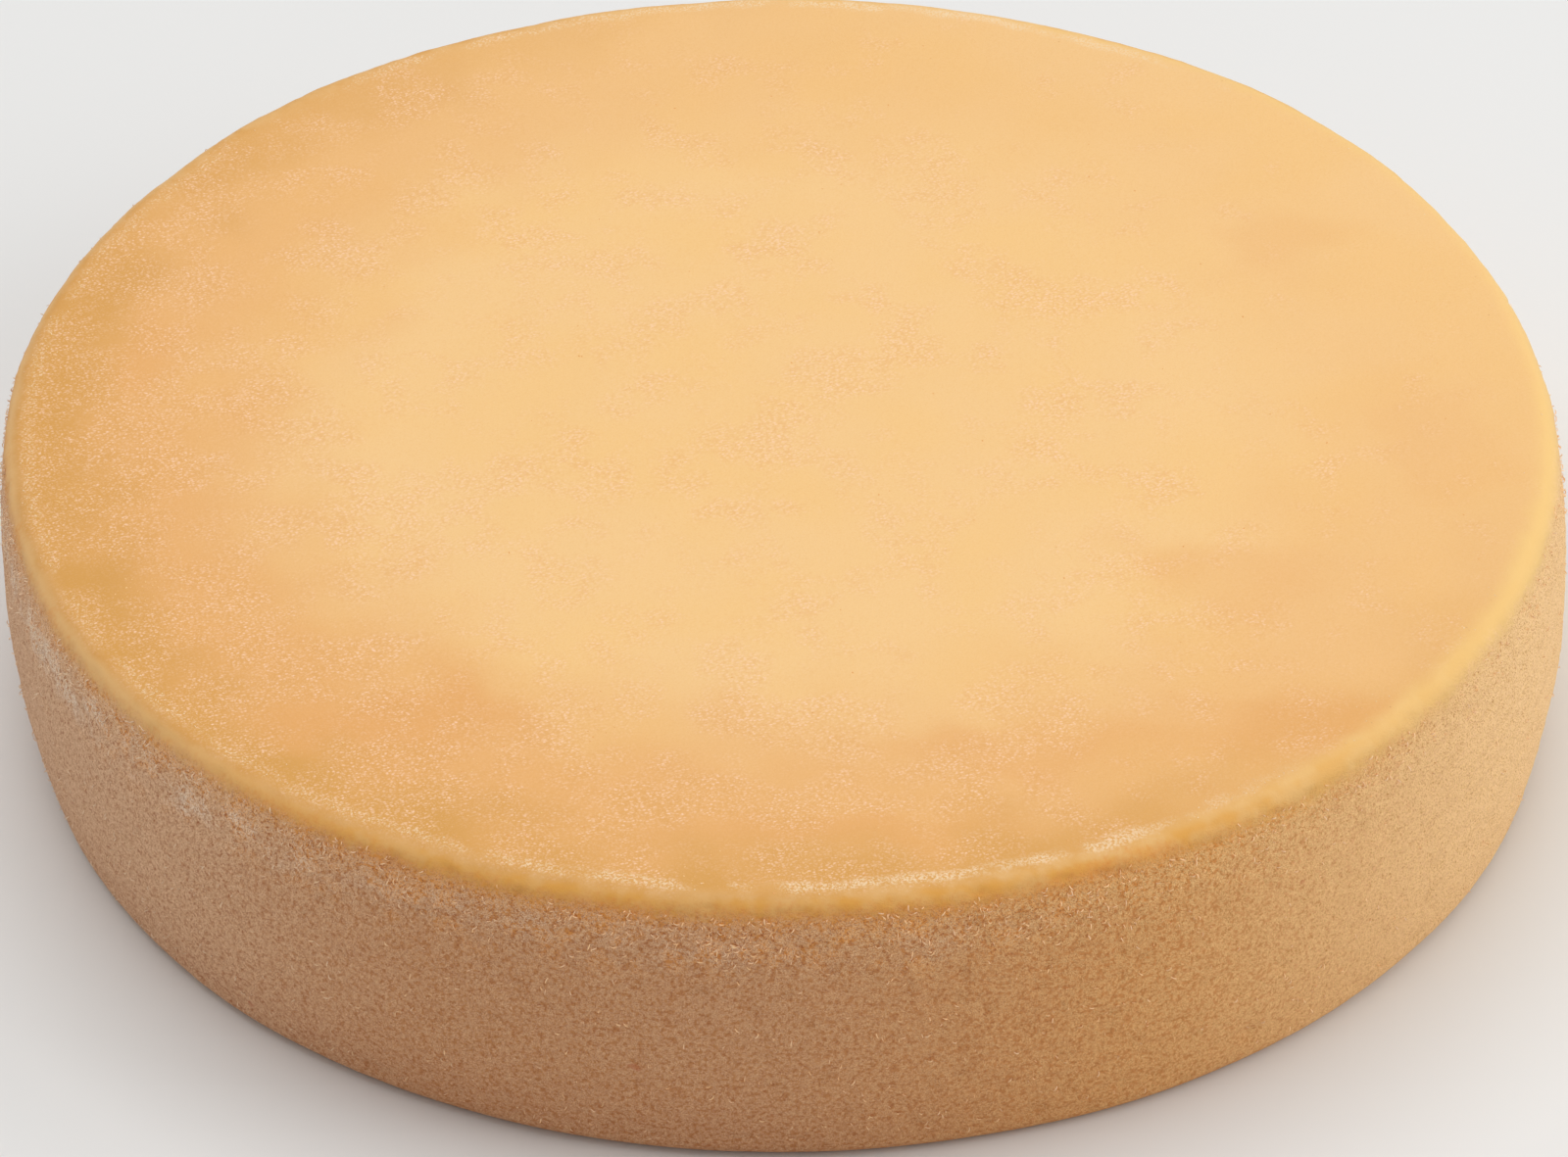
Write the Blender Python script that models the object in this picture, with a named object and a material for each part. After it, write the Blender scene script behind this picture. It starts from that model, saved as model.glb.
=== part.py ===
"""Raclette cheese: one whole pressed wheel with a natural washed rind.

Metres, +Z up, front towards -Y. The origin is the centre of the flat foot that the wheel rests on.
The wheel is one solid. A half section is spun about Z, and the turned shape is then made as uneven
as a cheese that was pressed in a hoop and turned over many times on its shelf.
"""

import math

import bmesh
import bpy
from mathutils import noise

# Driving sizes of the even wheel
DIAMETER = 0.320  # across the belly, the widest level of the heel
HEIGHT = 0.0662  # from the foot to the rim of the top face
BELLY_SHARE = 0.57  # how far up the heel the belly is
TOP_SET_IN = 0.0025  # how far the heel draws in from the belly to the top face
FOOT_SET_IN = 0.0054  # how far it draws in from the belly to the foot
EDGE_RADIUS = 0.0045  # rounding at the top face and at the foot
CROWN = 0.0006  # rise of the top face from its rim to its middle

# How the real wheel differs from the even one
LEAN = -0.0016  # shift of the top face along X
THICKER_SIDE = 0.0023  # how much thicker the wheel is at +X than at -X
OUT_OF_ROUND = (  # lobes round the wheel, height of a lobe, direction of the first lobe in degrees
    (2, 0.00020, -45),
    (3, 0.00020, -17),
    (4, 0.00045, -34),
    (5, 0.00015, -17),
    (6, 0.00017, -13),
)
HEEL_DENTS = ((0.070, 0.0004), (0.024, 0.0003))  # how far apart, how deep
FACE_DENTS = ((0.070, 0.0004), (0.024, 0.0002))

# Fineness of the mesh
SEGMENTS = 120
EDGE_STEPS = 4
HEEL_STEPS = 9
TOP_RINGS = (0.18, 0.37, 0.55, 0.72, 0.86, 0.95)  # shares of the top face's flat radius

# Looks of the two kinds of rind
GOLDEN_FACE = (0.88, 0.54, 0.21)
BROWN_HEEL = (0.43, 0.21, 0.10)

RADIUS = DIAMETER / 2
BELLY_LEVEL = BELLY_SHARE * HEIGHT
UPPER_EDGE = HEIGHT - EDGE_RADIUS
LOWER_EDGE = EDGE_RADIUS


def heel_radius(level):
    """Radius of the even heel at a level above the foot."""
    if level > BELLY_LEVEL:
        return RADIUS - TOP_SET_IN * ((level - BELLY_LEVEL) / (HEIGHT - BELLY_LEVEL)) ** 2
    return RADIUS - FOOT_SET_IN * ((BELLY_LEVEL - level) / BELLY_LEVEL) ** 2


def rounded_edge(level, start, end):
    """Points of a rounding centred at a level, from one angle of elevation to another."""
    middle = heel_radius(level) - EDGE_RADIUS
    turns = [start + (end - start) * step / EDGE_STEPS for step in range(EDGE_STEPS + 1)]
    return [
        (middle + EDGE_RADIUS * math.cos(turn), level + EDGE_RADIUS * math.sin(turn))
        for turn in turns
    ]


def half_section():
    """(radius, level) from the middle of the top face, down the heel, to the rim of the foot."""
    face_radius = heel_radius(UPPER_EDGE) - EDGE_RADIUS
    drop = (UPPER_EDGE - LOWER_EDGE) / HEEL_STEPS
    heel_levels = [UPPER_EDGE - drop * step for step in range(1, HEEL_STEPS)]
    return (
        [(0.0, HEIGHT)]
        + [(face_radius * share, HEIGHT) for share in TOP_RINGS]
        + rounded_edge(UPPER_EDGE, math.pi / 2, 0.0)
        + [(heel_radius(level), level) for level in heel_levels]
        + rounded_edge(LOWER_EDGE, 0.0, -math.pi / 2)
    )


def spin_section(bm):
    """Spins the half section once round Z and closes the foot with one flat face."""
    points = [bm.verts.new((radius, 0.0, level)) for radius, level in half_section()]
    line = [bm.edges.new(pair) for pair in zip(points, points[1:])]
    bmesh.ops.spin(
        bm,
        geom=points + line,
        cent=(0.0, 0.0, 0.0),
        axis=(0.0, 0.0, 1.0),
        angle=math.tau,
        steps=SEGMENTS,
        use_merge=True,
    )
    bmesh.ops.remove_doubles(bm, verts=bm.verts, dist=1e-6)
    foot_rim = [edge for edge in bm.edges if edge.is_boundary]
    bmesh.ops.edgeloop_fill(bm, edges=foot_rim)
    bmesh.ops.recalc_face_normals(bm, faces=bm.faces)


def lobes(direction):
    """How far the wheel stands out of round in a direction."""
    return sum(
        height * math.cos(count * (direction - math.radians(first)))
        for count, height, first in OUT_OF_ROUND
    )


def dents(place, rows):
    """Height of the dents and swellings of the rind at a place."""
    return sum(depth * noise.noise(place / apart) for apart, depth in rows)


def make_uneven(bm):
    """Moves every point of the even wheel outwards and up by its share; the foot stays flat."""
    for vert in bm.verts:
        even = vert.co.copy()
        outward = math.hypot(even.x, even.y) / RADIUS
        upward = even.z / HEIGHT
        direction = math.atan2(even.y, even.x)
        reach = outward * (RADIUS + lobes(direction) + dents(even, HEEL_DENTS))
        rise = THICKER_SIDE * even.x / DIAMETER + CROWN * (1.0 - outward**2)
        rise += dents(even, FACE_DENTS)
        vert.co.x = reach * math.cos(direction) + upward * LEAN
        vert.co.y = reach * math.sin(direction)
        vert.co.z = even.z + upward * rise


def rind_material(name, colour, roughness):
    """A rind of one plain colour."""
    material = bpy.data.materials.new(name)
    material.use_nodes = True
    shader = material.node_tree.nodes["Principled BSDF"]
    shader.inputs["Base Color"].default_value = (*colour, 1.0)
    shader.inputs["Roughness"].default_value = roughness
    shader.inputs["Metallic"].default_value = 0.0
    return material


def build_wheel():
    """The wheel, golden on its two faces and brown on its heel."""
    bm = bmesh.new()
    spin_section(bm)
    for face in bm.faces:
        level = face.calc_center_median().z
        face.material_index = 1 if LOWER_EDGE < level < UPPER_EDGE else 0
        face.smooth = True
    make_uneven(bm)
    mesh = bpy.data.meshes.new("cheese_wheel")
    bm.to_mesh(mesh)
    bm.free()
    mesh.materials.append(rind_material("golden_face_rind", GOLDEN_FACE, 0.55))
    mesh.materials.append(rind_material("brown_heel_rind", BROWN_HEEL, 0.80))
    mesh.set_sharp_from_angle(angle=math.radians(50))
    wheel = bpy.data.objects.new("cheese_wheel", mesh)
    bpy.context.collection.objects.link(wheel)


def main():
    for old in list(bpy.data.objects):
        bpy.data.objects.remove(old)
    build_wheel()


main()
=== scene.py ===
import math

import bpy
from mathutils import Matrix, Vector, noise


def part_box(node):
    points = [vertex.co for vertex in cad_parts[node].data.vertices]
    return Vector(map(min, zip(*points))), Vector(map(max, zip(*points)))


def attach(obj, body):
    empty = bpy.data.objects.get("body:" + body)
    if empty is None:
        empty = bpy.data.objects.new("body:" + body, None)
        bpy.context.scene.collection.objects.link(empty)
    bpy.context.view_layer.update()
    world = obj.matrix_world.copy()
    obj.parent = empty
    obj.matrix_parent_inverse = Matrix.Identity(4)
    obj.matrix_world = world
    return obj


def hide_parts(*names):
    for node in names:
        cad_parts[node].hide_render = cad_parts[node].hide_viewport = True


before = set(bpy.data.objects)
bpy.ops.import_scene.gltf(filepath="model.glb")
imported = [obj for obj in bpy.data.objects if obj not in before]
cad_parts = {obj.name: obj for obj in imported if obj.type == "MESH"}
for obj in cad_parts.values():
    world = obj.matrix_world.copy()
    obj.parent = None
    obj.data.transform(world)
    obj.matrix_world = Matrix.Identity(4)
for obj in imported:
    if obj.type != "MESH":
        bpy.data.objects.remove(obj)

bl_info = {
    "name": "Raclette Wheel",
    "version": (1, 0, 0),
    "blender": (4, 5, 0),
    "location": "View3D > Sidebar > Raclette",
    "description": "Dresses a whole raclette wheel in its washed rind and sets up a plain studio",
    "category": "Add Mesh",
}

# What the frame says about the wheel, in metres
NODE = "cheese_wheel"
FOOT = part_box(NODE)[0].z
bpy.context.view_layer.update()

MM = 0.001
FACE_LEVEL = 66.2 * MM  # level of the top face's rim
FACE_RADIUS = 157.5 * MM  # where the top face would meet the heel without its rounding
LEAN = -1.6 * MM  # shift of the top face along X
SLOPE = 2.3 / 320  # rise of the top face along X
MIDDLE = Vector((LEAN / 2, 0.0, FACE_LEVEL / 2))
WHEEL_RADIUS = 157.0 * MM  # mean radius, for gradients across the wheel
FOOT_BORDER = 151.5 * MM  # radius at which the foot's pale face turns into the heel's brown
UPPER_PART = 30 * MM  # level above which nubs, flakes and the edge's relief may lie
ABOVE_FOOT = FOOT + 0.01 * MM  # level just above the flat foot
CAGE_BULGE = 4.5 * MM  # how far the cage's heel stands out between its two edges
CURL_TIP = 0.22  # radius of a curl's pointed end, in thicknesses of the curl
CURL_MIDDLE = 0.5  # radius of its middle

# The photograph's frame, and where the middle of the wheel stands in it
PHOTO_WIDTH = 1600
PHOTO_HEIGHT = 1181
WHEEL_MIDDLE_PX = (799.1, 559.4)


def length(label, text, default):
    return bpy.props.FloatProperty(
        name=label, description=text, default=default, unit="LENGTH", precision=5
    )


def colour(label, text, default):
    return bpy.props.FloatVectorProperty(
        name=label, description=text, default=default, subtype="COLOR", size=3, min=0.0, max=1.0
    )


class WheelSizes(bpy.types.PropertyGroup):
    """Fineness of the rind's mesh and depth of its relief."""

    columns: bpy.props.IntProperty(
        name="Columns", description="Columns of the cage round the wheel", default=240, min=80, step=4
    )
    edge_steps: bpy.props.IntProperty(
        name="Edge Steps", description="Rows of the cage over each rounded edge", default=3, min=2
    )
    heel_steps: bpy.props.IntProperty(
        name="Heel Steps", description="Rows of the cage up the heel", default=13, min=4
    )
    edge_radius: length("Edge Radius", "Rounding of the two edges", 4.5 * MM)
    foot_radius: length("Foot Radius", "Flat part of the foot", 150.6 * MM)
    swell_depth: length("Swells", "Height of the broad swells", 0.5 * MM)
    lump_depth: length("Lumps", "Height of the lumps of the heel", 0.5 * MM)
    pit_depth: length("Pits", "Depth of the small pits of the heel", 0.16 * MM)
    dent_depth: length("Dents", "Depth of the long dents of the heel", 0.5 * MM)
    grain_depth: length("Grain", "Depth of the finest grain", 0.06 * MM)
    crumb_grain_depth: length("Crumb Grain", "Depth of the grain of dry matter", 0.03 * MM)
    curl_length: length("Curl Length", "Length of a dry curl of smear", 1.6 * MM)
    curl_thickness: length("Curl Thickness", "Thickness of a dry curl of smear", 0.26 * MM)
    nub_size: length("Nub Size", "Width of the raised nubs and flakes", 0.55 * MM)


def crowding(label, text, default):
    return bpy.props.FloatProperty(name=label, description=text, default=default, min=0.0)


class CrumbCrowding(bpy.types.PropertyGroup):
    """How many crumbs lie on a square millimetre where they are thickest."""

    curls: crowding("Curls", "Dry curls of smear on a square millimetre of the heel", 0.75)
    nubs: crowding("Nubs", "Nubs on a square millimetre of the top face", 0.3)
    flakes: crowding("Flakes", "Flakes on a square millimetre of the rounded edge", 0.6)


class RindColours(bpy.types.PropertyGroup):
    """Colours of the rind, as linear light."""

    cream: colour("Cream", "Middle of the top face", (0.875, 0.56, 0.245))
    amber: colour("Amber", "Ring near the edge of the top face", (0.765, 0.365, 0.11))
    ochre: colour("Ochre", "Rim of the top face where the ring is deepest", (0.66, 0.33, 0.075))
    nub: colour("Nub", "Small pale nubs that the cloth left", (0.95, 0.62, 0.41))
    wax: colour("Wax", "Pale parts of the rounded edge", (0.77, 0.46, 0.18))
    gold: colour("Gold", "Deep parts of the rounded edge", (0.69, 0.345, 0.08))
    lemon: colour("Lemon", "Rounded edge at the right", (0.87, 0.57, 0.21))
    honey: colour("Honey", "Where the smooth edge gives way to the heel", (0.74, 0.35, 0.06))
    chalk: colour("Chalk", "White dry line along the crest", (0.88, 0.67, 0.42))
    umber: colour("Umber", "Front of the heel", (0.545, 0.237, 0.087))
    rose: colour("Rose", "Left of the heel", (0.62, 0.355, 0.202))
    tan: colour("Tan", "Right of the heel", (0.97, 0.64, 0.335))
    russet: colour("Russet", "Heel just under the edge", (0.72, 0.285, 0.06))
    # Dark colour of the pits, also used as painted shade towards the foot of the heel
    pit_and_foot_shade: colour("Pit", "Bottoms of the small pits", (0.38, 0.115, 0.04))
    pore: colour("Pore", "Bottoms of the small pits at the right", (0.52, 0.24, 0.055))
    fibre: colour("Fibre", "Fine dry curls on the heel", (0.89, 0.61, 0.38))
    straw: colour("Straw", "Fine dry curls at the right", (0.93, 0.61, 0.27))
    bloom: colour("Bloom", "Pale dry bloom on the heel", (0.80, 0.61, 0.43))
    frost: colour("Frost", "Fine dry curls within the bloom", (0.97, 0.84, 0.66))
    blush: colour("Blush", "Small red spots", (0.50, 0.12, 0.05))


class StudioSettings(bpy.types.PropertyGroup):
    """Camera and lights."""

    elevation: bpy.props.FloatProperty(
        name="Elevation",
        description="Angle that the camera looks down",
        default=math.radians(36.57),
        subtype="ANGLE",
    )
    distance: length("Distance", "From the camera to the wheel's middle", 1.92)
    focal_px: bpy.props.FloatProperty(
        name="Focal Length", description="In pixels of the photograph", default=9547.0
    )
    sky: bpy.props.FloatProperty(name="Sky", description="Light from all round", default=0.53)
    overhead: bpy.props.FloatProperty(
        name="Overhead", description="Power of the upper softbox in watts", default=18.9
    )
    side: bpy.props.FloatProperty(
        name="Side", description="Power of the right softbox in watts", default=12.0
    )


def deselect_all():
    if bpy.context.mode != "OBJECT":
        bpy.ops.object.mode_set(mode="OBJECT")
    bpy.ops.object.select_all(action="DESELECT")


def make_active(piece):
    deselect_all()
    piece.select_set(True)
    bpy.context.view_layer.objects.active = piece


def apply_modifier(piece, name):
    make_active(piece)
    bpy.ops.object.modifier_apply(modifier=name)


def smoothstep(value, start, full):
    share = min(1.0, max(0.0, (value - start) / (full - start)))
    return share * share * (3.0 - 2.0 * share)


def side_level(place):
    """How far down the heel a place is (above 0), or how far in over the top face (below 0)."""
    out = math.hypot(place.x - LEAN, place.y)
    return (FACE_LEVEL + SLOPE * place.x - place.z) - (FACE_RADIUS - out)


# The rind's mesh


def smooth_target():
    """A smooth, finer copy of the CAD wheel, which the rind's mesh is drawn onto."""
    source = bpy.data.objects[NODE]
    target = source.copy()
    target.data = source.data.copy()
    target.name = "smooth_target"
    bpy.context.scene.collection.objects.link(target)
    make_active(target)
    bpy.ops.object.mode_set(mode="EDIT")
    bpy.ops.mesh.select_all(action="SELECT")
    bpy.ops.mesh.remove_doubles(threshold=1e-6)
    bpy.ops.mesh.tris_convert_to_quads()
    bpy.ops.mesh.select_all(action="DESELECT")
    bpy.ops.object.mode_set(mode="OBJECT")
    for face in target.data.polygons:
        face.select = all(target.data.vertices[i].co.z < ABOVE_FOOT for i in face.vertices)
    bpy.ops.object.mode_set(mode="EDIT")
    bpy.ops.mesh.select_mode(type="FACE")
    bpy.ops.mesh.dissolve_faces()
    bpy.ops.mesh.inset(thickness=3 * MM, depth=0.0)
    bpy.ops.object.mode_set(mode="OBJECT")
    smoother = target.modifiers.new("smoother", "SUBSURF")
    smoother.levels = smoother.render_levels = 2
    apply_modifier(target, smoother.name)
    return target


def rise_rim(scale, rise):
    """Extrudes the selected rim, scales it round Z and lifts it."""
    bpy.ops.mesh.extrude_edges_move()
    bpy.ops.transform.resize(value=(scale, scale, 1.0), center_override=(0.0, 0.0, 0.0))
    bpy.ops.transform.translate(value=(0.0, 0.0, rise))


def section(sizes):
    """(radius, level) of the cage's rows, from the rim of the foot to the rim of the top face."""
    radius = sizes.edge_radius
    high = FACE_LEVEL - radius
    low_middle = sizes.foot_radius
    high_middle = FACE_RADIUS - radius
    turn = math.pi / 2 / sizes.edge_steps
    rows = [
        (low_middle + radius * math.sin(turn * i), radius - radius * math.cos(turn * i))
        for i in range(sizes.edge_steps + 1)
    ]
    for i in range(1, sizes.heel_steps):
        share = i / sizes.heel_steps
        bulge = CAGE_BULGE * math.sin(math.pi * share)
        out = rows[sizes.edge_steps][0] * (1 - share) + FACE_RADIUS * share + bulge
        rows.append((out, radius + (high - radius) * share))
    rows += [
        (high_middle + radius * math.cos(turn * i), high + radius * math.sin(turn * i))
        for i in range(sizes.edge_steps + 1)
    ]
    return rows


def rind_cage(sizes):
    """Even wheel of quads: a gridded foot, rows up the heel and a gridded top face."""
    rows = section(sizes)
    deselect_all()
    bpy.ops.mesh.primitive_circle_add(
        vertices=sizes.columns, radius=rows[0][0], fill_type="NOTHING", location=(0.0, 0.0, FOOT)
    )
    rind = bpy.context.object
    rind.name = rind.data.name = "rind"
    bpy.ops.object.mode_set(mode="EDIT")
    bpy.ops.mesh.select_mode(type="EDGE")
    bpy.ops.mesh.select_all(action="SELECT")
    bpy.ops.mesh.fill_grid(span=sizes.columns // 4)
    bpy.ops.mesh.select_all(action="SELECT")
    bpy.ops.mesh.region_to_loop()
    for (last_out, last_level), (out, level) in zip(rows, rows[1:]):
        rise_rim(out / last_out, level - last_level)
    bpy.ops.mesh.fill_grid(span=sizes.columns // 4)
    bpy.ops.mesh.select_all(action="SELECT")
    bpy.ops.mesh.normals_make_consistent(inside=False)
    bpy.ops.object.mode_set(mode="OBJECT")
    return rind


def subdivide_above(rind, level, side_from=-1.0):
    """Halves the edges of the faces above a level and, if asked, only from a side level on."""
    make_active(rind)
    bpy.ops.object.mode_set(mode="EDIT")
    bpy.ops.mesh.select_mode(type="FACE")
    bpy.ops.mesh.select_all(action="DESELECT")
    bpy.ops.object.mode_set(mode="OBJECT")
    for face in rind.data.polygons:
        face.select = face.center.z > level and side_level(face.center) > side_from
    bpy.ops.object.mode_set(mode="EDIT")
    bpy.ops.mesh.subdivide(number_cuts=1)
    bpy.ops.object.mode_set(mode="OBJECT")


def weigh(piece, name, weight):
    """Adds a vertex group whose weights are a function of place."""
    group = piece.vertex_groups.new(name=name)
    for vert in piece.data.vertices:
        group.add([vert.index], weight(vert.co), "REPLACE")
    return group.name


def relief(rind, name, group, depth, size, basis="ORIGINAL_PERLIN", stretch=(1.0, 1.0, 1.0), bias=0.5):
    """Raises and sinks the rind along its normals by a cloudy texture of the given size."""
    guide = bpy.data.objects.new(name, None)
    guide.scale = stretch
    bpy.context.scene.collection.objects.link(guide)
    bpy.context.view_layer.update()
    texture = bpy.data.textures.new(name, "CLOUDS")
    texture.noise_scale = size
    texture.noise_basis = basis
    texture.noise_depth = 1
    push = rind.modifiers.new(name, "DISPLACE")
    push.texture = texture
    push.texture_coords = "OBJECT"
    push.texture_coords_object = guide
    push.vertex_group = group
    push.strength = depth
    push.mid_level = bias
    apply_modifier(rind, push.name)
    bpy.data.objects.remove(guide)
    bpy.data.textures.remove(texture)


def sink(rind, group, depth):
    """Sinks the rind along its normals by the weight of a vertex group."""
    push = rind.modifiers.new(group, "DISPLACE")
    push.vertex_group = group
    push.strength = -depth
    push.mid_level = 0.0
    apply_modifier(rind, push.name)


def on_heel(place):
    """1 on the heel, fading to 0 at the crest and at the foot."""
    return smoothstep(place.z, 0.5 * MM, 5 * MM) * smoothstep(side_level(place), -2 * MM, 4 * MM)


def on_edge(place):
    """1 on the upper rounded edge, fading to 0 over the top face and down the heel."""
    if place.z < UPPER_PART:
        return 0.0
    side = side_level(place)
    return smoothstep(side, -8 * MM, -4 * MM) * smoothstep(side, 9 * MM, 3 * MM)


def long_dents(place):
    """Sparse dents, longer round the wheel than up it."""
    share = on_heel(place)
    if share == 0.0:
        return 0.0
    cloud = noise.noise(Vector((place.x / 1.7, place.y / 1.7, place.z)) / (2.6 * MM))
    where = noise.noise(place / (30 * MM))
    return share * smoothstep(cloud, 0.28 - 0.15 * where, 0.62)


def shape_rind(sizes):
    """The rind's closed mesh: the CAD wheel's form with swells, lumps, pits and dents."""
    rind = rind_cage(sizes)
    subdivide_above(rind, ABOVE_FOOT)
    subdivide_above(rind, ABOVE_FOOT, -sizes.edge_radius)
    lifted = weigh(rind, "lifted", lambda place: 1.0 if place.z > 1e-6 else 0.0)
    target = smooth_target()
    wrap = rind.modifiers.new("wrap", "SHRINKWRAP")
    wrap.target = target
    wrap.vertex_group = lifted
    apply_modifier(rind, wrap.name)
    mesh = target.data
    bpy.data.objects.remove(target)
    bpy.data.meshes.remove(mesh)
    faces = weigh(rind, "faces", lambda place: smoothstep(place.z, 2 * MM, 8 * MM))
    heel = weigh(rind, "heel", on_heel)
    edge = weigh(rind, "edge", on_edge)
    dents = weigh(rind, "dents", long_dents)
    relief(rind, "swells", faces, sizes.swell_depth, 16 * MM)
    relief(rind, "edge_lumps", edge, 0.3 * sizes.lump_depth, 9 * MM)
    relief(rind, "edge_crinkles", edge, sizes.pit_depth, 2.6 * MM)
    relief(rind, "lumps", heel, sizes.lump_depth, 5 * MM, stretch=(1.3, 1.3, 0.8))
    relief(rind, "pits", heel, sizes.pit_depth, 2.2 * MM, basis="VORONOI_F1", bias=0.6)
    relief(rind, "crust", heel, sizes.pit_depth, 1.6 * MM, stretch=(1.0, 1.0, 1.3))
    sink(rind, dents, sizes.dent_depth)
    for group in list(rind.vertex_groups):
        rind.vertex_groups.remove(group)
    make_active(rind)
    bpy.ops.object.shade_smooth()
    return rind


# The rind's material


class Painter:
    """Adds shader nodes to a material; places are in millimetres of the wheel's own frame."""

    def __init__(self, name):
        self.material = bpy.data.materials.new(name)
        self.material.use_nodes = True
        self.tree = self.material.node_tree
        self.shader = self.tree.nodes["Principled BSDF"]
        place = self.tree.nodes.new("ShaderNodeTexCoord").outputs["Object"]
        self.place = self.scaled(place, 1 / MM)

    def link(self, socket, value):
        """Feeds a socket with another node's output, or with a plain value."""
        if isinstance(value, bpy.types.NodeSocket):
            self.tree.links.new(value, socket)
        elif socket.type == "RGBA":
            socket.default_value = (*value, 1.0)
        else:
            socket.default_value = value

    def vector(self, operation, *values):
        node = self.tree.nodes.new("ShaderNodeVectorMath")
        node.operation = operation
        for socket, value in zip(node.inputs, values):
            self.link(socket, value)
        return node.outputs[1] if operation in ("LENGTH", "DOT_PRODUCT") else node.outputs[0]

    def scaled(self, vector, factor):
        node = self.tree.nodes.new("ShaderNodeVectorMath")
        node.operation = "SCALE"
        self.link(node.inputs[0], vector)
        self.link(node.inputs["Scale"], factor)
        return node.outputs[0]

    def math(self, operation, *values):
        node = self.tree.nodes.new("ShaderNodeMath")
        node.operation = operation
        for socket, value in zip(node.inputs, values):
            self.link(socket, value)
        return node.outputs[0]

    def times(self, *values):
        result = values[0]
        for value in values[1:]:
            result = self.math("MULTIPLY", result, value)
        return result

    def highest(self, *values):
        result = values[0]
        for value in values[1:]:
            result = self.math("MAXIMUM", result, value)
        return result

    def wobble(self, value, cloud, reach):
        """Moves a value up or down by a cloud, by half the reach at most."""
        return self.math("MULTIPLY_ADD", self.math("SUBTRACT", cloud, 0.5), reach, value)

    def step(self, value, start, full, top=1.0):
        """Rises smoothly from 0 at start to the top at full, which may lie below start."""
        node = self.tree.nodes.new("ShaderNodeMapRange")
        node.interpolation_type = "SMOOTHSTEP"
        self.link(node.inputs["Value"], value)
        falling = full < start
        node.inputs["From Min"].default_value = full if falling else start
        node.inputs["From Max"].default_value = start if falling else full
        node.inputs["To Min"].default_value = top if falling else 0.0
        node.inputs["To Max"].default_value = 0.0 if falling else top
        return node.outputs["Result"]

    def band(self, value, low, high, soft, top=1.0):
        """The top between low and high, fading to 0 over the given width outside them."""
        return self.times(self.step(value, low - soft, low, top), self.step(value, high + soft, high))

    def noise(
        self, size, seed=0.0, detail=2.0, rough=0.5, twist=0.0, stretch=(1.0, 1.0, 1.0), vector=False
    ):
        """Cloudy noise of the given size in millimetres, longer along an axis whose stretch is above 1."""
        scale = [1 / (size * share) for share in stretch]
        node = self.tree.nodes.new("ShaderNodeTexNoise")
        at = self.vector("MULTIPLY_ADD", self.place, scale, (seed, seed * 0.7, seed * 1.3))
        self.link(node.inputs["Vector"], at)
        node.inputs["Scale"].default_value = 1.0
        node.inputs["Detail"].default_value = detail
        node.inputs["Roughness"].default_value = rough
        node.inputs["Distortion"].default_value = twist
        return node.outputs["Color"] if vector else node.outputs["Fac"]

    def fibres(self, size, seed, width=0.05, twist=1.5):
        """Thin curling lines, where a cloudy noise crosses its middle."""
        cloud = self.noise(size, seed=seed, detail=1, rough=0.6, twist=twist)
        return self.step(self.math("ABSOLUTE", self.math("SUBTRACT", cloud, 0.5)), width, 0.0)

    def cells(self, size, turn, stretch):
        """(distance to the middle of a cell in cell sizes, random colour of the cell)."""
        mapping = self.tree.nodes.new("ShaderNodeMapping")
        mapping.vector_type = "TEXTURE"
        self.link(mapping.inputs["Vector"], self.place)
        mapping.inputs["Rotation"].default_value = (0.0, 0.0, turn)
        mapping.inputs["Scale"].default_value = [size * share for share in stretch]
        node = self.tree.nodes.new("ShaderNodeTexVoronoi")
        self.link(node.inputs["Vector"], mapping.outputs[0])
        node.inputs["Scale"].default_value = 1.0
        return node.outputs["Distance"], node.outputs["Color"]

    def patch(self, warped, middle, reach, top=1.0):
        """Soft oval round a place, its edge broken by the warp; sizes in millimetres."""
        away = self.vector("DIVIDE", self.vector("SUBTRACT", warped, middle), reach)
        return self.step(self.vector("LENGTH", away), 1.0, 0.25, top)

    def mix(self, share, below, above):
        """Paints one colour over another by a share."""
        node = self.tree.nodes.new("ShaderNodeMix")
        node.data_type = "RGBA"
        self.link(node.inputs[0], share)
        self.link(node.inputs[6], below)
        self.link(node.inputs[7], above)
        return node.outputs[2]

    def blend(self, share, below, above):
        """One number over another by a share."""
        node = self.tree.nodes.new("ShaderNodeMix")
        self.link(node.inputs[0], share)
        self.link(node.inputs[2], below)
        self.link(node.inputs[3], above)
        return node.outputs[0]

    def split(self, vector):
        node = self.tree.nodes.new("ShaderNodeSeparateXYZ")
        self.link(node.inputs[0], vector)
        return node.outputs

    def bump(self, height, depth):
        """Bump of the given depth in metres."""
        node = self.tree.nodes.new("ShaderNodeBump")
        node.inputs["Strength"].default_value = 1.0
        node.inputs["Distance"].default_value = depth
        self.link(node.inputs["Height"], height)
        return node.outputs["Normal"]


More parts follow.
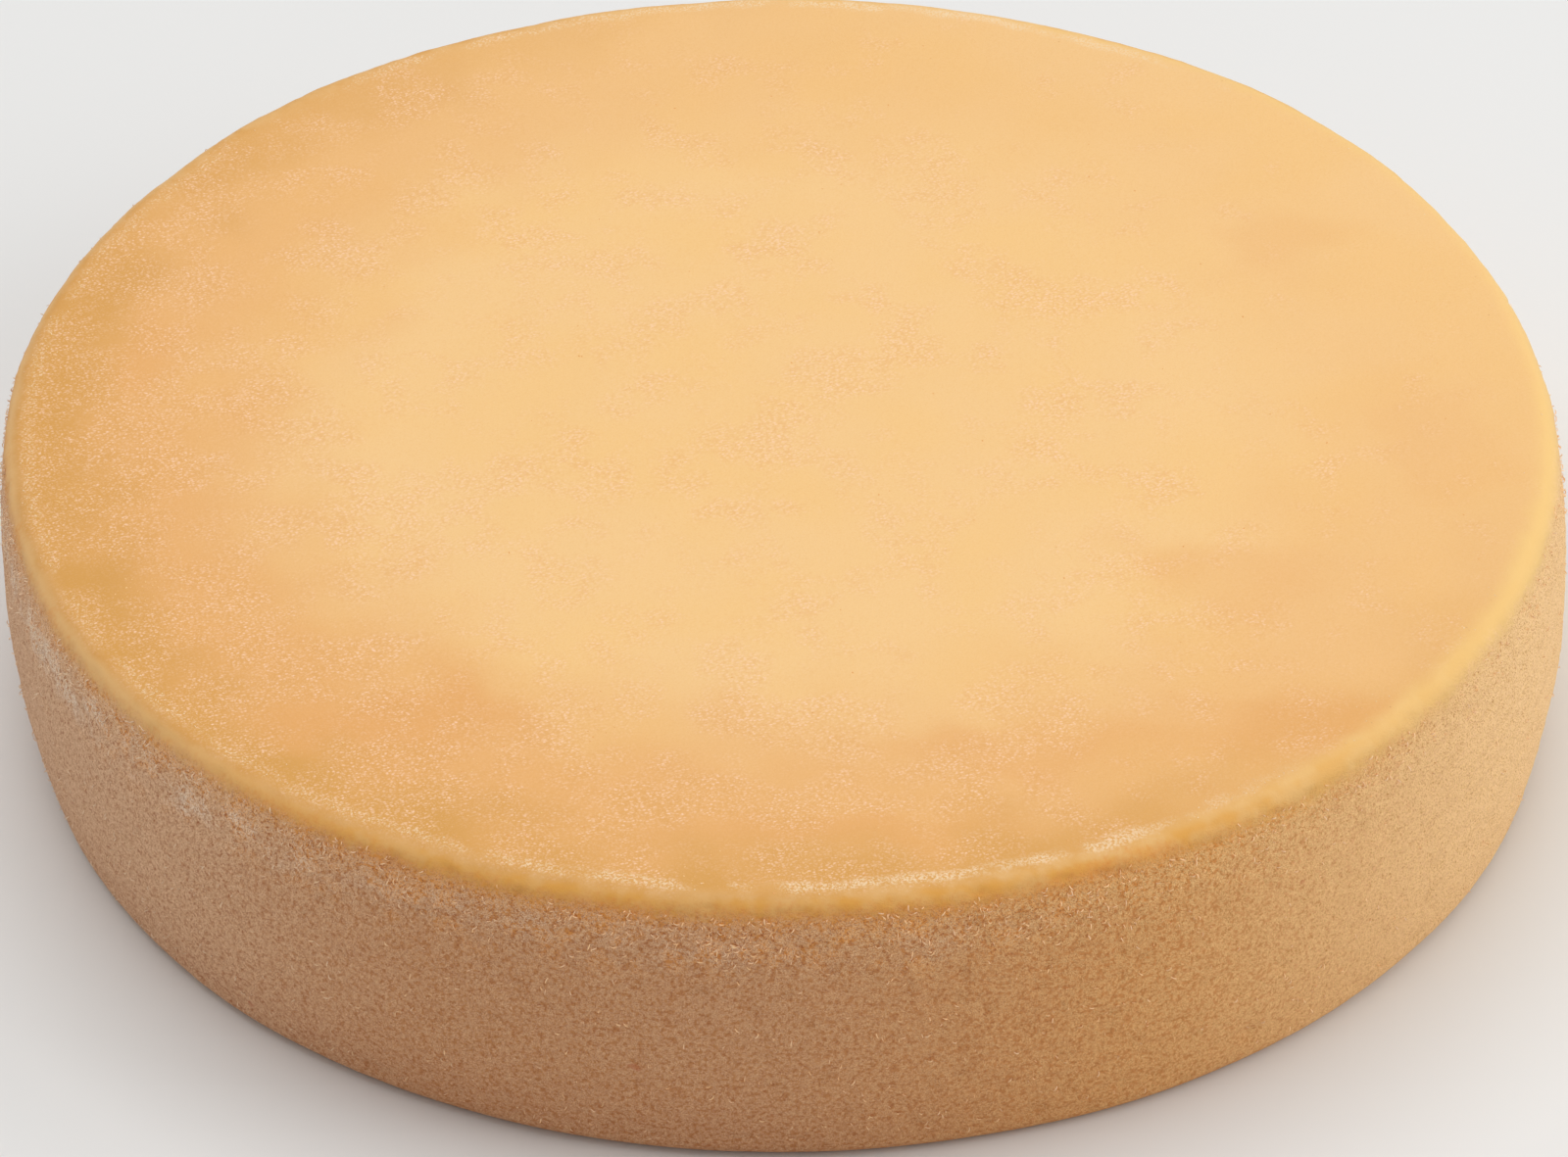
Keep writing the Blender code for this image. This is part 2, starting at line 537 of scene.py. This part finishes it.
class WheelCoordinates:
    """Where a point is on the wheel, as shader sockets in millimetres, and broad noises."""

    def __init__(self, p):
        self.x, self.y, self.z = p.split(p.place)
        from_axis = p.vector("MULTIPLY_ADD", p.place, (1, 1, 0), (-LEAN / MM, 0, 0))
        self.out = p.vector("LENGTH", from_axis)
        face_level = p.math("MULTIPLY_ADD", self.x, SLOPE, FACE_LEVEL / MM)
        down = p.math("SUBTRACT", face_level, self.z)
        upper = p.math("ADD", p.math("SUBTRACT", down, FACE_RADIUS / MM), self.out)
        # The foot is finished as the top face is, and turns into the heel's brown within its rounding
        lower = p.math("SUBTRACT", p.math("ADD", self.z, self.out), FOOT_BORDER / MM)
        self.side = p.math("MINIMUM", upper, p.times(lower, 5.0))
        cloud = p.noise(22, seed=9, detail=1, rough=0.6, vector=True)
        shift = p.vector("SUBTRACT", cloud, (0.5, 0.5, 0.5))
        self.warped = p.vector("MULTIPLY_ADD", shift, (36, 36, 0), p.place)
        self.warped_out = p.vector("LENGTH", p.vector("MULTIPLY", self.warped, (1, 1, 0)))
        self.ripple = p.noise(8, seed=41, detail=1, rough=0.65)
        self.patchy = p.noise(13, seed=31, detail=2, rough=0.62)
        self.broad = p.noise(30, seed=3, detail=1)
        self.left = p.step(self.x, -66, -136)
        self.right = p.step(self.x, 60, 145)

    def toward(self, p, degrees):
        """From -1 to 1 across the wheel, towards a turn."""
        reach = WHEEL_RADIUS / MM
        turn = math.radians(degrees)
        return p.vector("DOT_PRODUCT", p.place, (math.sin(turn) / reach, -math.cos(turn) / reach, 0))


# Deeper amber clouds on the top face: middle and reach in millimetres, and strength
AMBER_CLOUDS = (
    ((88, -54, 66), (30, 18, 40), 0.26),
    ((-76, -103, 66), (34, 16, 40), 0.45),
    ((10, -136, 66), (46, 9, 40), 0.35),
    ((-131, 22, 66), (14, 26, 40), 0.30),
    ((134, -10, 66), (14, 30, 40), 0.16),
    ((104, 62, 66), (24, 16, 40), 0.18),
    ((48, -108, 66), (44, 15, 40), 0.35),
    ((108, -104, 66), (44, 16, 40), 0.45),
)


def top_face(p, at, colours):
    """Colour of the two flat faces."""
    paper = p.noise(0.45, seed=15, detail=1, rough=0.6)
    deeper = [c * share for c, share in zip(colours.cream, (1, 0.985, 0.92))]
    shade = p.mix(p.step(at.broad, 0.35, 0.7), colours.cream, deeper)
    toward_front_left = at.toward(p, -50)
    ring_share = p.math("MULTIPLY_ADD", toward_front_left, 0.43, 0.50)
    ring = p.times(p.step(at.warped_out, 78, 130, 0.88), ring_share)
    shade = p.mix(ring, shade, colours.amber)
    rim = p.times(p.step(at.warped_out, 130, 156), p.step(toward_front_left, -0.9, 0.9))
    shade = p.mix(rim, shade, colours.ochre)
    for middle, reach, top in AMBER_CLOUDS:
        shade = p.mix(p.patch(at.warped, middle, reach, top), shade, colours.amber)
    golden = p.times(p.step(at.warped_out, 118, 150, 0.6), p.step(at.patchy, 0.45, 0.72))
    shade = p.mix(p.times(golden, p.step(at.toward(p, -35), 0.2, 0.8)), shade, colours.gold)
    # Marks of the cloth: rows of pale nubs, denser here and there
    dense = p.math("ADD", at.patchy, p.times(at.toward(p, -55), p.step(at.out, 70, 130, 0.16)))
    far, cell = p.cells(0.66, turn=math.radians(20), stretch=(1.2, 0.9, 1.0))
    chance = p.split(cell)[0]
    nubs = p.times(p.step(far, 0.6, 0.15), p.step(chance, 0.1, 0.9))
    strength = p.step(dense, 0.43, 0.70, 0.56)
    grain = p.math("ADD", nubs, p.step(paper, 0.5, 0.72, 0.7))
    shade = p.mix(p.times(grain, p.math("ADD", strength, 0.07)), shade, colours.nub)
    between = p.times(p.step(far, 0.35, 0.75), p.math("ADD", strength, 0.05), 0.50)
    hollow = p.math("ADD", between, p.step(paper, 0.5, 0.25, 0.16))
    return p.mix(hollow, shade, p.mix(ring, colours.amber, colours.ochre))


def rounded_edge(p, at, colours, shade):
    """Wax-smooth rounded edge with its dry white line, painted over the face's colour."""
    side = p.wobble(at.side, at.ripple, 3.5)
    mottle = p.noise(6, seed=42, detail=2, rough=0.6)
    wax = p.mix(p.step(mottle, 0.33, 0.67), colours.gold, colours.wax)
    browner = p.mix(0.35, colours.ochre, colours.umber)
    wax = p.mix(p.step(at.toward(p, -60), 0.1, 1.0, 0.5), wax, browner)
    wax = p.mix(p.step(at.toward(p, 110), -0.3, 1.0), wax, colours.lemon)
    shade = p.mix(p.step(side, -6.0, -0.5, 0.85), shade, wax)
    honey = p.mix(p.highest(at.left, p.step(mottle, 0.35, 0.65, 0.5)), colours.honey, colours.wax)
    honey = p.mix(p.step(at.x, 75, 165), honey, colours.lemon)
    honey_share = p.times(p.band(side, 0.5, 9.0, 3.0, 0.85), p.blend(at.right, 1.0, 0.5))
    shade = p.mix(honey_share, shade, honey)
    # Thinner and more broken towards the left, none at the right
    flaky = p.math("SUBTRACT", p.noise(0.5, seed=43, detail=1, rough=0.7), p.step(at.x, 50, -140, 0.14))
    line = p.times(p.band(side, -5.2, -4.2, 1.8), p.step(flaky, 0.38, 0.62), p.step(at.patchy, 0.34, 0.54))
    line = p.times(line, p.step(at.x, 115, 50, 0.8))
    return p.mix(line, shade, colours.chalk)


def heel_face(p, at, colours):
    """(colour, depth of the pits) of the heel."""
    side = p.wobble(at.side, at.ripple, 7.0)
    shade = p.mix(p.step(at.x, -60, -156), colours.umber, colours.rose)
    shade = p.mix(p.step(at.y, 0, 150, 0.7), shade, colours.rose)
    shade = p.mix(p.step(at.x, -10, 75, 0.42), shade, colours.russet)
    shade = p.mix(p.step(at.x, 70, 160), shade, colours.tan)
    not_right = p.step(at.x, 85, 5)
    # Warmer and redder just under the edge
    reddish = p.noise(6, seed=52, detail=1, rough=0.65)
    under = p.times(p.step(side, 14, 3), p.step(at.x, 145, 85))
    under = p.times(under, p.blend(p.step(reddish, 0.2, 0.6), 0.6, 1.0))
    shade = p.mix(under, shade, p.mix(at.left, colours.russet, colours.amber))
    # Redder clouds below the edge
    clouds = p.times(p.step(reddish, 0.48, 0.60, 0.9), p.step(at.x, 120, 30), p.step(side, 24, 8))
    shade = p.mix(clouds, shade, colours.russet)
    # Pale bloom in patches a little under the edge, stronger at the left
    low = p.blend(at.left, 13.0, 15.0)
    fading = p.step(p.math("SUBTRACT", side, low), 5.0, 0.0)
    cloudy = p.blend(0.5, at.patchy, reddish)
    bloom = p.times(p.step(side, 7.0, 11.0), fading, p.step(cloudy, 0.43, 0.55), not_right)
    shade = p.mix(p.times(bloom, p.blend(at.left, 0.02, 0.24)), shade, colours.bloom)
    # Painted shade towards the foot, strongest on the left and none at the right, in the pits' dark colour
    shade = p.mix(p.times(p.step(at.z, 26, 2), p.step(at.x, 60, -10, 0.25)), shade, colours.pit_and_foot_shade)
    # Layers that run round the wheel
    layers = p.noise(1.6, seed=54, detail=1, stretch=(7, 7, 1))
    shade = p.mix(p.step(layers, 0.52, 0.75, 0.14), shade, colours.pit_and_foot_shade)
    # Fine curls and pits, strongest near the edge
    near_edge = p.step(side, 24, 4)
    contrast = p.times(p.blend(near_edge, 0.70, 1.0), p.blend(at.left, 1.0, 1.55))
    contrast = p.times(contrast, p.step(at.side, 0.0, 8.0), p.blend(p.step(at.x, 30, 110), 1.0, 1.4))
    broken = p.step(p.noise(0.9, seed=56, detail=1), 0.30, 0.55)
    curls = p.times(p.highest(p.fibres(0.42, 21, 0.06), p.fibres(0.32, 37, 0.06, 0.0)), broken)
    pits = p.step(p.noise(0.3, seed=57, detail=1, rough=0.6), 0.52, 0.34)
    pore = p.mix(p.step(at.x, 20, 110), colours.pit_and_foot_shade, colours.pore)
    shade = p.mix(p.times(pits, contrast, 0.95), shade, pore)
    pale = p.mix(p.step(at.x, -20, 70), colours.fibre, colours.straw)
    pale = p.mix(p.times(bloom, p.blend(at.left, 0.28, 1.0)), pale, colours.frost)
    shade = p.mix(p.times(curls, contrast), shade, pale)
    # A few small red spots
    shade = p.mix(p.step(p.noise(4, seed=58, detail=0), 0.86, 0.89, 0.4), shade, colours.blush)
    return shade, pits


def rind_material(colours, grain_depth):
    p = Painter("washed_rind")
    at = WheelCoordinates(p)
    shade = top_face(p, at, colours)
    shade = rounded_edge(p, at, colours, shade)
    heel_shade, pits = heel_face(p, at, colours)
    # The heel's brown climbs to the edge in a soft, stippled border, higher at the left
    border = p.blend(p.step(at.x, 60, 110), 2.7, 4.6)
    border = p.wobble(p.wobble(border, p.noise(20, seed=61, detail=1), 4.0), at.ripple, 4.0)
    stipple = p.noise(1.1, seed=62, detail=1, rough=0.7)
    past = p.wobble(p.math("SUBTRACT", at.side, border), stipple, 7.0)
    heel = p.step(past, -3.2, 3.8)
    p.link(p.shader.inputs["Base Color"], p.mix(heel, shade, heel_shade))
    p.link(p.shader.inputs["Roughness"], p.blend(heel, 0.58, 0.85))
    p.shader.inputs["Specular IOR Level"].default_value = 0.3
    # The grain is finer on the top face than on the heel
    height = p.times(pits, p.blend(p.step(at.side, 0, 5), -0.3, -1.0))
    p.link(p.shader.inputs["Normal"], p.bump(height, grain_depth))
    return p.material


def crumb_material(name, grain_depth, below, above, leftmost):
    """Dry matter that lies on the rind, in two colours from crumb to crumb and a third at the left."""
    p = Painter(name)
    cloud = p.noise(1.5, seed=71, detail=1)
    shade = p.mix(p.step(cloud, 0.35, 0.65), below, above)
    shade = p.mix(p.step(p.split(p.place)[0], -50, -130, 0.8), shade, leftmost)
    p.link(p.shader.inputs["Base Color"], shade)
    p.shader.inputs["Roughness"].default_value = 0.8
    p.shader.inputs["Specular IOR Level"].default_value = 0.3
    p.link(p.shader.inputs["Normal"], p.bump(p.noise(0.15, seed=72, detail=1), grain_depth))
    return p.material


# Small dry matter on the rind


def curl_shape(sizes, bend, steps=4, sides=3):
    """A dry curl of smear that lies flat, thick in the middle and pointed at both ends."""
    reach = sizes.curl_length / steps
    turn = bend / steps
    deselect_all()
    bpy.ops.mesh.primitive_circle_add(
        vertices=sides,
        radius=sizes.curl_thickness * CURL_TIP,
        fill_type="NGON",
        rotation=(0, math.pi / 2, 0),
    )
    curl = bpy.context.object
    bpy.ops.object.mode_set(mode="EDIT")
    bpy.ops.mesh.select_mode(type="EDGE")
    bpy.ops.mesh.select_all(action="SELECT")
    tip = Vector((0.0, 0.0, 0.0))
    heading = 0.0
    wide = CURL_TIP
    for step in range(steps):
        tip += Vector((math.cos(heading), math.sin(heading), 0.0)) * reach
        now = CURL_MIDDLE * math.sin(math.pi * (0.15 + 0.7 * (step + 1) / steps))
        bpy.ops.mesh.extrude_edges_move()
        bpy.ops.transform.translate(value=Vector((math.cos(heading), math.sin(heading), 0.0)) * reach)
        bpy.ops.transform.resize(value=(now / wide, now / wide, now / wide), center_override=tip)
        bpy.ops.transform.rotate(value=-turn, orient_axis="Z", center_override=tip)
        heading += turn
        wide = now
    bpy.ops.mesh.edge_face_add()
    bpy.ops.mesh.select_all(action="SELECT")
    bpy.ops.transform.translate(value=-tip / 2)
    bpy.ops.transform.translate(value=(0.0, 0.0, sizes.curl_thickness * 0.25))
    bpy.ops.mesh.normals_make_consistent(inside=False)
    bpy.ops.object.mode_set(mode="OBJECT")
    return curl


def nub_shape(sizes, tall, seed):
    """A low, uneven nub with few faces."""
    deselect_all()
    bpy.ops.mesh.primitive_ico_sphere_add(subdivisions=1, radius=sizes.nub_size / 2)
    nub = bpy.context.object
    bpy.ops.object.mode_set(mode="EDIT")
    bpy.ops.mesh.select_all(action="SELECT")
    bpy.ops.transform.resize(value=(1.3, 0.8, tall))
    bpy.ops.transform.vertex_random(offset=sizes.nub_size * 0.08, seed=seed)
    bpy.ops.object.mode_set(mode="OBJECT")
    return nub


class Strewer:
    """Geometry nodes that strew copies of a few shapes over the rind and make them one mesh."""

    def __init__(self, name):
        self.tree = bpy.data.node_groups.new(name, "GeometryNodeTree")
        self.tree.interface.new_socket("Geometry", in_out="INPUT", socket_type="NodeSocketGeometry")
        self.tree.interface.new_socket("Geometry", in_out="OUTPUT", socket_type="NodeSocketGeometry")

    def add(self, kind, links=(), **values):
        """Adds a node; links are (input, output socket), values are the node's own settings."""
        node = self.tree.nodes.new(kind)
        for setting, value in values.items():
            setattr(node, setting, value)
        for name, source in links:
            if isinstance(source, bpy.types.NodeSocket):
                self.tree.links.new(source, node.inputs[name])
            else:
                node.inputs[name].default_value = source
        return node

    def strew(self, shapes, per_square_metre, seed, scale, tilt):
        """Wires the nodes: points by the density group, a random turn, lean and size for each."""
        bed = self.add("NodeGroupInput").outputs[0]
        group = self.add("GeometryNodeInputNamedAttribute", [("Name", "density")], data_type="FLOAT")
        thick = self.add(
            "ShaderNodeMath", [(0, group.outputs[0]), (1, per_square_metre)], operation="MULTIPLY"
        )
        points = self.add(
            "GeometryNodeDistributePointsOnFaces",
            [("Mesh", bed), ("Density", thick.outputs[0]), ("Seed", seed)],
            distribute_method="RANDOM",
        )
        chosen = self.add(
            "GeometryNodeCollectionInfo",
            [("Collection", shapes), ("Separate Children", True), ("Reset Children", True)],
        )
        size = self.add(
            "FunctionNodeRandomValue",
            [(2, scale[0]), (3, scale[1]), ("Seed", seed + 1)],
            data_type="FLOAT",
        )
        copies = self.add(
            "GeometryNodeInstanceOnPoints",
            [
                ("Points", points.outputs["Points"]),
                ("Instance", chosen.outputs[0]),
                ("Pick Instance", True),
                ("Rotation", points.outputs["Rotation"]),
                ("Scale", size.outputs[1]),
            ],
        )
        lean = self.add(
            "FunctionNodeRandomValue",
            [(0, (-tilt, -tilt, 0.0)), (1, (tilt, tilt, math.tau)), ("Seed", seed + 2)],
            data_type="FLOAT_VECTOR",
        )
        turned = self.add(
            "GeometryNodeRotateInstances",
            [("Instances", copies.outputs[0]), ("Rotation", lean.outputs[0]), ("Local Space", True)],
        )
        joined = self.add("GeometryNodeRealizeInstances", [("Geometry", turned.outputs[0])])
        self.add("NodeGroupOutput", [("Geometry", joined.outputs[0])])


def strewn(name, rind, shapes, density, per_square_mm, seed, scale, tilt):
    """One mesh of small shapes on the rind, as thick as a density that is a function of place."""
    store = bpy.data.collections.new(name + "_shapes")
    bpy.context.scene.collection.children.link(store)
    for shape in shapes:
        for home in list(shape.users_collection):
            home.objects.unlink(shape)
        store.objects.link(shape)
    piece = rind.copy()
    piece.data = rind.data.copy()
    piece.name = piece.data.name = name
    piece.data.materials.clear()
    bpy.context.scene.collection.objects.link(piece)
    weigh(piece, "density", density)
    strewer = Strewer(name)
    strewer.strew(store, per_square_mm / MM**2, seed, scale, tilt)
    nodes = piece.modifiers.new(name, "NODES")
    nodes.node_group = strewer.tree
    apply_modifier(piece, nodes.name)
    piece.data.materials.clear()
    for group in list(piece.vertex_groups):
        piece.vertex_groups.remove(group)
    for shape in shapes:
        mesh = shape.data
        bpy.data.objects.remove(shape)
        bpy.data.meshes.remove(mesh)
    bpy.data.collections.remove(store)
    bpy.data.node_groups.remove(strewer.tree)
    return piece


def turn_of(place):
    """Degrees round the wheel: 0 at the front, 90 at the right."""
    return math.degrees(math.atan2(place.x, -place.y))


def curl_density(place):
    """Curls are thickest a little under the edge and at the front and left."""
    side = side_level(place)
    if place.z < 4 * MM or side < 2.5 * MM:
        return 0.0
    near = smoothstep(side, 2.5 * MM, 5 * MM) * (0.10 + 0.90 * smoothstep(side, 19 * MM, 10 * MM))
    turn = turn_of(place)
    round_share = 0.25 + 0.75 * smoothstep(abs(turn + 50), 110, 60)
    cloud = noise.noise(place / (9 * MM)) + 0.5 * noise.noise(place / (4 * MM))
    return near * round_share * smoothstep(cloud, -0.45, 0.55)


def nub_density(place):
    """Nubs are thickest on the left front of the top face, and in patches elsewhere."""
    side = side_level(place)
    if place.z < UPPER_PART or side > -3 * MM:
        return 0.0
    out = math.hypot(place.x, place.y) / (150 * MM)
    turn = turn_of(place)
    rim = smoothstep(out, 0.6, 0.95) * smoothstep(abs(turn + 55), 100, 20)
    cloud = noise.noise(place / (16 * MM)) + 0.5 * noise.noise(place / (7 * MM))
    return (0.06 + 0.94 * rim) * smoothstep(cloud, -0.1, 0.7)


def flake_density(place):
    """Flakes lie along the crest of the rounded edge."""
    side = side_level(place)
    if place.z < UPPER_PART:
        return 0.0
    crest = smoothstep(side, -8.5 * MM, -5 * MM) * smoothstep(side, -1.5 * MM, -4 * MM)
    if crest == 0.0:
        return 0.0
    turn = turn_of(place)
    cloud = noise.noise(place / (12 * MM)) + 0.5 * noise.noise(place / (4 * MM))
    return crest * smoothstep(cloud, -0.1, 0.5) * (0.25 + 0.75 * smoothstep(abs(turn + 25), 110, 60))


# Operators, panel and registration


class RACLETTE_OT_rind(bpy.types.Operator):
    """Model the rind of the wheel over the CAD solid and give it its washed finish"""

    bl_idname = "raclette.add_rind"
    bl_label = "Add Rind"

    def execute(self, context):
        sizes = context.scene.raclette_sizes
        rind = shape_rind(sizes)
        rind.data.materials.clear()
        rind.data.materials.append(rind_material(context.scene.raclette_colours, sizes.grain_depth))
        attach(rind, "root")
        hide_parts(NODE)
        return {"FINISHED"}


class RACLETTE_OT_crumbs(bpy.types.Operator):
    """Strew dry curls over the heel, nubs over the top face and flakes along the crest"""

    bl_idname = "raclette.add_crumbs"
    bl_label = "Add Crumbs"

    def execute(self, context):
        sizes = context.scene.raclette_sizes
        colours = context.scene.raclette_colours
        rind = bpy.data.objects["rind"]
        curls = [curl_shape(sizes, math.radians(bend)) for bend in (40, 110, 170, -140)]
        nubs = [nub_shape(sizes, 0.35, seed) for seed in (1, 2, 3)]
        flakes = [nub_shape(sizes, 0.30, seed) for seed in (4, 5, 6)]
        grain = sizes.crumb_grain_depth
        dry = crumb_material("dry_smear", grain, colours.fibre, colours.tan, colours.bloom)
        pale = crumb_material("cloth_nubs", grain, colours.cream, colours.amber, colours.cream)
        chalky = crumb_material("chalky_flakes", grain, colours.chalk, colours.wax, colours.chalk)
        thick = context.scene.raclette_crumbs
        for name, shapes, density, per_square_mm, seed, scale, tilt, material in (
            ("smear_curls", curls, curl_density, thick.curls, 11, (0.55, 1.15), 0.3, dry),
            ("cloth_nub_relief", nubs, nub_density, thick.nubs, 12, (0.3, 0.9), 0.15, pale),
            ("crest_flakes", flakes, flake_density, thick.flakes, 13, (0.25, 0.8), 0.4, chalky),
        ):
            piece = strewn(name, rind, shapes, density, per_square_mm, seed, scale, tilt)
            piece.data.materials.append(material)
            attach(piece, "root")
        return {"FINISHED"}


def add_softbox(name, place, aim, size, power):
    light = bpy.data.lights.new(name, "AREA")
    light.shape = "SQUARE"
    light.size = size
    light.energy = power
    box = bpy.data.objects.new(name, light)
    box.location = place
    box.rotation_euler = (Vector(aim) - Vector(place)).to_track_quat("-Z", "Y").to_euler()
    bpy.context.scene.collection.objects.link(box)


def add_floor():
    deselect_all()
    bpy.ops.mesh.primitive_plane_add(size=12.0, location=(0.0, 0.0, 0.0))
    floor = bpy.context.object
    floor.name = floor.data.name = "floor"
    material = bpy.data.materials.new("pale_floor")
    material.use_nodes = True
    shader = material.node_tree.nodes["Principled BSDF"]
    shader.inputs["Base Color"].default_value = (0.78, 0.78, 0.77, 1.0)
    shader.inputs["Roughness"].default_value = 0.8
    floor.data.materials.append(material)


def add_camera(studio):
    """Camera at the photograph's angle, aimed so that the wheel's middle falls on its pixel."""
    back = Vector((0.0, -math.cos(studio.elevation), math.sin(studio.elevation)))
    up = Vector((0.0, math.sin(studio.elevation), math.cos(studio.elevation)))
    metres_per_px = studio.distance / studio.focal_px
    right_px = PHOTO_WIDTH / 2 - WHEEL_MIDDLE_PX[0]
    down_px = PHOTO_HEIGHT / 2 - WHEEL_MIDDLE_PX[1]
    aim = MIDDLE + (Vector((right_px, 0.0, 0.0)) - up * down_px) * metres_per_px
    data = bpy.data.cameras.new("camera")
    data.sensor_width = 36.0
    data.lens = studio.focal_px * data.sensor_width / PHOTO_WIDTH
    data.clip_start = 0.05
    data.clip_end = 50.0
    camera = bpy.data.objects.new("camera", data)
    camera.location = MIDDLE + back * studio.distance
    camera.rotation_euler = (aim - camera.location).to_track_quat("-Z", "Y").to_euler()
    bpy.context.scene.collection.objects.link(camera)
    bpy.context.scene.camera = camera


class RACLETTE_OT_studio(bpy.types.Operator):
    """Set up the pale floor, the softboxes and the camera"""

    bl_idname = "raclette.add_studio"
    bl_label = "Add Studio"

    def execute(self, context):
        studio = context.scene.raclette_studio
        add_floor()
        add_softbox("overhead_softbox", (-0.2, 0.2, 1.9), (0, 0, 0), 1.8, studio.overhead)
        add_softbox("right_softbox", (1.7, -0.2, 0.9), (0, 0, 0.03), 1.2, studio.side)
        add_camera(studio)
        world = bpy.data.worlds.new("studio")
        world.use_nodes = True
        world.node_tree.nodes["Background"].inputs["Color"].default_value = (1.0, 1.0, 1.0, 1.0)
        world.node_tree.nodes["Background"].inputs["Strength"].default_value = studio.sky
        context.scene.world = world
        context.scene.view_settings.view_transform = "Standard"
        return {"FINISHED"}


class RACLETTE_PT_sidebar(bpy.types.Panel):
    """Lists the steps that dress the wheel"""

    bl_idname = "RACLETTE_PT_sidebar"
    bl_label = "Raclette Wheel"
    bl_space_type = "VIEW_3D"
    bl_region_type = "UI"
    bl_category = "Raclette"

    def draw(self, context):
        for operator in (RACLETTE_OT_rind, RACLETTE_OT_crumbs, RACLETTE_OT_studio):
            self.layout.operator(operator.bl_idname)
        for group in ("raclette_sizes", "raclette_crumbs", "raclette_colours", "raclette_studio"):
            settings = getattr(context.scene, group)
            box = self.layout.box()
            for name in settings.bl_rna.properties.keys():
                if name not in ("rna_type", "name"):
                    box.prop(settings, name)


CLASSES = (
    WheelSizes,
    CrumbCrowding,
    RindColours,
    StudioSettings,
    RACLETTE_OT_rind,
    RACLETTE_OT_crumbs,
    RACLETTE_OT_studio,
    RACLETTE_PT_sidebar,
)


def register():
    for cls in CLASSES:
        bpy.utils.register_class(cls)
    bpy.types.Scene.raclette_sizes = bpy.props.PointerProperty(type=WheelSizes)
    bpy.types.Scene.raclette_crumbs = bpy.props.PointerProperty(type=CrumbCrowding)
    bpy.types.Scene.raclette_colours = bpy.props.PointerProperty(type=RindColours)
    bpy.types.Scene.raclette_studio = bpy.props.PointerProperty(type=StudioSettings)


def unregister():
    del bpy.types.Scene.raclette_studio
    del bpy.types.Scene.raclette_colours
    del bpy.types.Scene.raclette_crumbs
    del bpy.types.Scene.raclette_sizes
    for cls in reversed(CLASSES):
        bpy.utils.unregister_class(cls)


def main():
    register()
    bpy.ops.raclette.add_rind()
    bpy.ops.raclette.add_crumbs()
    bpy.ops.raclette.add_studio()


if __name__ == "__main__":
    main()
